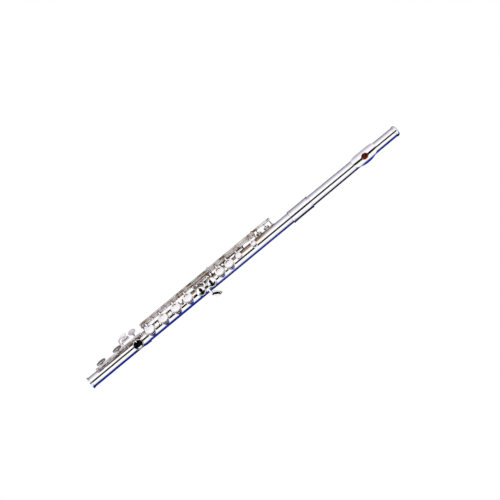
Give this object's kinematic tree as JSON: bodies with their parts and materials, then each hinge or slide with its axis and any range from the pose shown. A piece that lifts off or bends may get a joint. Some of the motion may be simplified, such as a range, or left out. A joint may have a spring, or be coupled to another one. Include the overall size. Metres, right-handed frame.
{
  "type": "concert flute",
  "caption": "Silver-plated concert flute with closed key cups, offset G keys and a C foot, in three joints with a sliding head, turning foot and sprung hinged keys.",
  "frame": {"origin": "bottom centre of the whole flute, below the middle of its length", "axes": "+X along the tube towards the crown, +Y towards the player (hinge rods), +Z the side the main key cups face"},
  "size_m": [0.6734, 0.0568, 0.0402],
  "materials": {
    "silver": "polished silver plate",
    "steel": "ground steel rod",
    "pad": "felt under goldbeater skin",
    "cork": "turned natural cork"
  },
  "bodies": {
    "body_joint": {"body_tube": "silver", "barrel": "silver", "upper_rib": "silver", "lower_rib": "silver", "thumb_rib": "silver", "left_steel": "steel", "right_steel": "steel", "thumb_steel": "steel", "g_pivot_upper": "steel", "g_pivot_lower": "steel", "trill_pivot_upper": "steel", "trill_pivot_lower": "steel"},
    "head_joint": {"head_tube": "silver", "lip_plate": "silver", "embouchure_riser": "silver"},
    "crown": {"crown": "silver"},
    "stopper": {"stopper_disc": "silver", "stopper_cork": "cork", "stopper_nut": "silver", "stopper_screw": "steel"},
    "foot_joint": {"foot_tube": "silver", "foot_rib": "silver", "foot_steel": "steel", "foot_pivot": "steel"},
    "csharp_key": {"csharp_key": "silver", "csharp_pad": "pad"},
    "bflat_key": {"bflat_key": "silver", "bflat_pad": "pad"},
    "a_key": {"a_key": "silver", "a_pad": "pad"},
    "g_key": {"g_key": "silver", "upper_g_pad": "pad", "lower_g_pad": "pad"},
    "gsharp_key": {"gsharp_key": "silver", "gsharp_pad": "pad"},
    "fsharp_key": {"fsharp_key": "silver", "fsharp_pad": "pad"},
    "f_key": {"f_key": "silver", "f_pad": "pad"},
    "e_key": {"e_key": "silver", "e_pad": "pad"},
    "d_key": {"d_key": "silver", "d_pad": "pad"},
    "side_bflat_lever": {"side_bflat_lever": "silver"},
    "d_trill_key": {"d_trill_key": "silver", "d_trill_pad": "pad"},
    "dsharp_trill_key": {"dsharp_trill_key": "silver", "dsharp_trill_pad": "pad"},
    "thumb_b_key": {"thumb_b_key": "silver", "thumb_pad": "pad"},
    "thumb_bflat_lever": {"thumb_bflat_lever": "silver"},
    "eflat_key": {"eflat_key": "silver", "eflat_pad": "pad"},
    "low_csharp_key": {"low_csharp_key": "silver", "low_csharp_pad": "pad"},
    "low_c_key": {"low_c_key": "silver", "low_c_pad": "pad", "roller_pin": "steel"},
    "low_c_roller": {"low_c_roller": "silver"}
  },
  "joints": [
    {"name": "head_slide", "type": "slide", "parent": "body_joint", "child": "head_joint", "axis": [1, 0, 0], "range_m": [0, 0.04]},
    {"name": "crown_turn", "type": "hinge", "parent": "head_joint", "child": "crown", "pos_m": [0.33235, -0.00038, 0.01931], "axis": [1, 0, 0], "range_deg": [-1090, 1090]},
    {"name": "stopper_slide", "type": "slide", "parent": "head_joint", "child": "stopper", "axis": [1, 0, 0], "range_m": [-0.0024, 0.0024]},
    {"name": "foot_turn", "type": "hinge", "parent": "body_joint", "child": "foot_joint", "pos_m": [-0.21665, -0.00038, 0.01931], "axis": [1, 0, 0], "continuous": true},
    {"name": "csharp_hinge", "type": "hinge", "parent": "body_joint", "child": "csharp_key", "pos_m": [0.00935, 0.01542, 0.02781], "axis": [1, 0, 0], "range_deg": [0, 9.4], "stiffness_Nm_per_rad": 0.01, "springref_deg": -20.05},
    {"name": "bflat_hinge", "type": "hinge", "parent": "body_joint", "child": "bflat_key", "pos_m": [-0.02641, 0.01542, 0.02781], "axis": [1, 0, 0], "range_deg": [0, 9.4], "stiffness_Nm_per_rad": 0.01, "springref_deg": -20.05},
    {"name": "a_hinge", "type": "hinge", "parent": "body_joint", "child": "a_key", "pos_m": [-0.04719, 0.01542, 0.02781], "axis": [1, 0, 0], "range_deg": [0, 9.4], "stiffness_Nm_per_rad": 0.01, "springref_deg": -20.05},
    {"name": "g_hinge", "type": "hinge", "parent": "body_joint", "child": "g_key", "pos_m": [-0.08165, 0.01162, 0.03061], "axis": [1, 0, 0], "range_deg": [0, 9.9], "stiffness_Nm_per_rad": 0.01, "springref_deg": -20.05},
    {"name": "gsharp_hinge", "type": "hinge", "parent": "body_joint", "child": "gsharp_key", "pos_m": [-0.08095, 0.01162, 0.03061], "axis": [1, 0, 0], "range_deg": [0, 8.5], "stiffness_Nm_per_rad": 0.01, "springref_deg": -20.05},
    {"name": "fsharp_hinge", "type": "hinge", "parent": "body_joint", "child": "fsharp_key", "pos_m": [-0.09465, 0.01542, 0.02781], "axis": [1, 0, 0], "range_deg": [0, 9.4], "stiffness_Nm_per_rad": 0.01, "springref_deg": -20.05},
    {"name": "f_hinge", "type": "hinge", "parent": "body_joint", "child": "f_key", "pos_m": [-0.14343, 0.01542, 0.02781], "axis": [1, 0, 0], "range_deg": [0, 9.4], "stiffness_Nm_per_rad": 0.01, "springref_deg": -20.05},
    {"name": "e_hinge", "type": "hinge", "parent": "body_joint", "child": "e_key", "pos_m": [-0.17117, 0.01542, 0.02781], "axis": [1, 0, 0], "range_deg": [0, 9.4], "stiffness_Nm_per_rad": 0.01, "springref_deg": -20.05},
    {"name": "d_hinge", "type": "hinge", "parent": "body_joint", "child": "d_key", "pos_m": [-0.19465, 0.01542, 0.02781], "axis": [1, 0, 0], "range_deg": [0, 9.4], "stiffness_Nm_per_rad": 0.01, "springref_deg": -20.05},
    {"name": "side_bflat_hinge", "type": "hinge", "parent": "body_joint", "child": "side_bflat_lever", "pos_m": [-0.13045, 0.01542, 0.02781], "axis": [1, 0, 0], "range_deg": [0, 8], "stiffness_Nm_per_rad": 0.01, "springref_deg": -20.05},
    {"name": "d_trill_hinge", "type": "hinge", "parent": "body_joint", "child": "d_trill_key", "pos_m": [-0.05465, 0.01982, 0.02931], "axis": [1, 0, 0], "range_deg": [0, 10], "stiffness_Nm_per_rad": 0.01, "springref_deg": -20.05},
    {"name": "dsharp_trill_hinge", "type": "hinge", "parent": "body_joint", "child": "dsharp_trill_key", "pos_m": [-0.06465, 0.01982, 0.02931], "axis": [1, 0, 0], "range_deg": [0, 10], "stiffness_Nm_per_rad": 0.01, "springref_deg": -20.05},
    {"name": "thumb_b_hinge", "type": "hinge", "parent": "body_joint", "child": "thumb_b_key", "pos_m": [-0.00665, 0.01602, 0.02071], "axis": [1, 0, 0], "range_deg": [-10.4, 0], "stiffness_Nm_per_rad": 0.01, "springref_deg": 20.05},
    {"name": "thumb_bflat_hinge", "type": "hinge", "parent": "body_joint", "child": "thumb_bflat_lever", "pos_m": [-0.02865, 0.01602, 0.02071], "axis": [1, 0, 0], "range_deg": [-10.4, 0], "stiffness_Nm_per_rad": 0.01, "springref_deg": 20.05},
    {"name": "eflat_hinge", "type": "hinge", "parent": "foot_joint", "child": "eflat_key", "pos_m": [-0.23165, 0.00587, 0.03404], "axis": [1, 0, 0], "range_deg": [-13, 0], "stiffness_Nm_per_rad": 0.01, "springref_deg": 20.05},
    {"name": "low_csharp_hinge", "type": "hinge", "parent": "foot_joint", "child": "low_csharp_key", "pos_m": [-0.26465, 0.00587, 0.03404], "axis": [1, 0, 0], "range_deg": [-13, 0], "stiffness_Nm_per_rad": 0.01, "springref_deg": 20.05},
    {"name": "low_c_hinge", "type": "hinge", "parent": "foot_joint", "child": "low_c_key", "pos_m": [-0.27965, 0.00587, 0.03404], "axis": [1, 0, 0], "range_deg": [-13, 0], "stiffness_Nm_per_rad": 0.01, "springref_deg": 20.05},
    {"name": "low_c_roller_spin", "type": "hinge", "parent": "low_c_key", "child": "low_c_roller", "pos_m": [-0.24335, 0.01804, 0.03047], "axis": [1, 0, 0], "continuous": true}
  ],
  "couplings": [
    {"joint": "crown_turn", "follows": "stopper_slide", "rad_per_m": 7854},
    {"joint": "bflat_hinge", "follows": "a_hinge", "ratio": 1},
    {"joint": "fsharp_hinge", "follows": "f_hinge", "ratio": 1}
  ]
}
